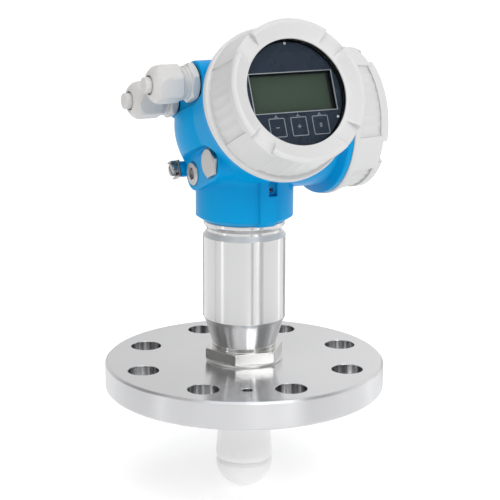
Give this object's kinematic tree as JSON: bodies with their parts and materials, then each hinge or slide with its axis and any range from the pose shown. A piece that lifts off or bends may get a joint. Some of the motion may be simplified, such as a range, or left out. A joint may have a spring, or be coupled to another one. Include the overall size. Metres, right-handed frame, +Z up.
{
  "type": "radar level transmitter",
  "caption": "Level transmitter with a bolted process flange, plastic-tipped antenna, steel neck and a tilted two-compartment head with sight glass, screwed covers and cable glands.",
  "frame": {"origin": "centre of the flange's lower sealing face", "axes": "+Z up the neck, away from the vessel; the display faces -Y and is tilted up; the terminal cover is on +X and the cable glands are on -X"},
  "size_m": [0.2, 0.2, 0.3441],
  "materials": {
    "flange_steel": "fine turned",
    "adapter_steel": "turned",
    "neck_steel": "polished",
    "spring_steel": "plain",
    "plug_steel": "satin",
    "module_metal": "satin",
    "bezel_silver": "satin",
    "terminal_brass": "plain",
    "housing_paint": "gloss powder coat",
    "cover_plastic": "semi-gloss",
    "antenna_plastic": "smooth",
    "gland_plastic": "smooth",
    "pin_plastic": "smooth",
    "module_plastic": "smooth",
    "display_plate": "printed film",
    "screen_glass": "liquid crystal",
    "terminal_plastic": "smooth",
    "insulator": "ceramic",
    "gasket": "pressed",
    "seal_rubber": "moulded",
    "window_glass": "clear"
  },
  "bodies": {
    "process": {"flange": "flange_steel", "adapter_seal": "gasket", "adapter": "adapter_steel", "neck": "neck_steel", "neck_seal": "seal_rubber", "retaining_clip": "spring_steel", "antenna_sleeve": "antenna_plastic", "antenna_dome": "antenna_plastic", "dome_seal": "seal_rubber", "waveguide": "neck_steel", "feed_cone": "antenna_plastic", "isolator": "insulator", "radar_module": "module_metal"},
    "head": {"housing": "housing_paint", "lock_screw": "spring_steel", "electronics_pod": "module_plastic", "display_bracket": "module_plastic", "display_module": "display_plate", "module_pins": "pin_plastic", "screen": "screen_glass", "screen_bezel": "bezel_silver", "terminal_block": "terminal_plastic", "terminal_screws": "terminal_brass", "hex_plug": "plug_steel", "hex_plug_washer": "seal_rubber", "socket_plug": "plug_steel", "ground_clamp": "plug_steel", "ground_washer": "spring_steel", "ground_screw": "plug_steel", "front_gland_washer": "seal_rubber", "front_gland_body": "gland_plastic", "rear_gland_washer": "seal_rubber", "rear_gland_body": "gland_plastic"},
    "display_cover_seal": {"display_cover_seal": "seal_rubber"},
    "display_cover": {"display_cover": "cover_plastic", "sight_glass": "window_glass", "glass_seal": "seal_rubber", "glass_retainer": "module_plastic"},
    "terminal_cover_seal": {"terminal_cover_seal": "seal_rubber"},
    "terminal_cover": {"terminal_cover": "cover_plastic"},
    "front_seal": {"front_gland_seal": "seal_rubber"},
    "front_cap": {"front_gland_cap": "gland_plastic"},
    "front_stopper": {"front_gland_stopper": "gland_plastic"},
    "rear_seal": {"rear_gland_seal": "seal_rubber"},
    "rear_cap": {"rear_gland_cap": "gland_plastic"},
    "rear_stopper": {"rear_gland_stopper": "gland_plastic"}
  },
  "joints": [
    {"name": "head_turn", "type": "hinge", "parent": "process", "child": "head", "pos_m": [0, 0, 0.137], "axis": [0, 0, 1], "range_deg": [-175, 175]},
    {"name": "display_cover_travel", "type": "slide", "parent": "head", "child": "display_cover_seal", "axis": [0, -0.9205, 0.3907], "range_m": [0, 0.0102]},
    {"name": "display_cover_turn", "type": "hinge", "parent": "display_cover_seal", "child": "display_cover", "pos_m": [0, 0, 0.189], "axis": [0, -0.9205, 0.3907], "range_deg": [0, 1800]},
    {"name": "terminal_cover_travel", "type": "slide", "parent": "head", "child": "terminal_cover_seal", "axis": [1, 0, 0], "range_m": [0, 0.0102]},
    {"name": "terminal_cover_turn", "type": "hinge", "parent": "terminal_cover_seal", "child": "terminal_cover", "pos_m": [0, 0, 0.189], "axis": [1, 0, 0], "range_deg": [0, 1800]},
    {"name": "front_cap_travel", "type": "slide", "parent": "head", "child": "front_seal", "axis": [-1, 0, 0], "range_m": [0, 0.0062]},
    {"name": "front_cap_turn", "type": "hinge", "parent": "front_seal", "child": "front_cap", "pos_m": [-0.06, -0.00682, 0.22155], "axis": [-1, 0, 0], "range_deg": [0, 1440]},
    {"name": "front_stopper_pull", "type": "slide", "parent": "front_seal", "child": "front_stopper", "axis": [-1, 0, 0], "range_m": [0, 0.025]},
    {"name": "rear_cap_travel", "type": "slide", "parent": "head", "child": "rear_seal", "axis": [-1, 0, 0], "range_m": [0, 0.0062]},
    {"name": "rear_cap_turn", "type": "hinge", "parent": "rear_seal", "child": "rear_cap", "pos_m": [-0.06, 0.02816, 0.20671], "axis": [-1, 0, 0], "range_deg": [0, 1440]},
    {"name": "rear_stopper_pull", "type": "slide", "parent": "rear_seal", "child": "rear_stopper", "axis": [-1, 0, 0], "range_m": [0, 0.025]}
  ],
  "couplings": [
    {"joint": "display_cover_travel", "follows": "display_cover_turn", "m_per_rad": 0.00031831},
    {"joint": "terminal_cover_travel", "follows": "terminal_cover_turn", "m_per_rad": 0.00031831},
    {"joint": "front_cap_travel", "follows": "front_cap_turn", "m_per_rad": 0.00023873},
    {"joint": "rear_cap_travel", "follows": "rear_cap_turn", "m_per_rad": 0.00023873}
  ]
}
